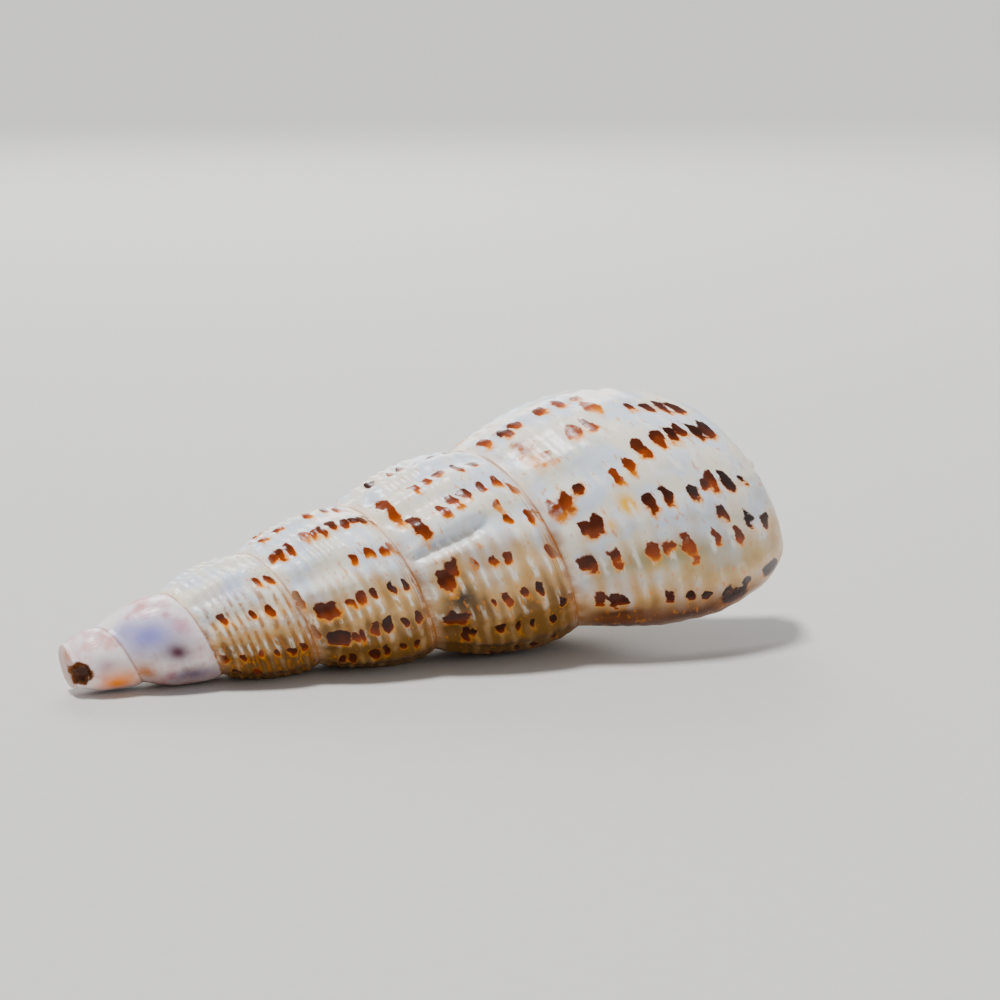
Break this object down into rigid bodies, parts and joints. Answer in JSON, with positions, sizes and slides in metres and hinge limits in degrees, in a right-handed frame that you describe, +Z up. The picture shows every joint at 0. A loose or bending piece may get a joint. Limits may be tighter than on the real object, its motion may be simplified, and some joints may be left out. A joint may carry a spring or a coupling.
{
  "type": "malaysian trumpet snail shell",
  "caption": "Empty slender spiral freshwater snail shell with rounded whorls, a worn tip and a swollen last whorl, lying on its aperture side.",
  "frame": {"origin": "centre of the bounding box's base, on the ground that the shell lies on", "axes": "+X from the worn tip to the aperture end, the shell's long axis rising 10.5 degrees; +Z up"},
  "size_m": [0.0282, 0.0094, 0.0095],
  "materials": {
    "shell": "gloss"
  },
  "bodies": {
    "root": {"shell": "shell"}
  },
  "joints": []
}
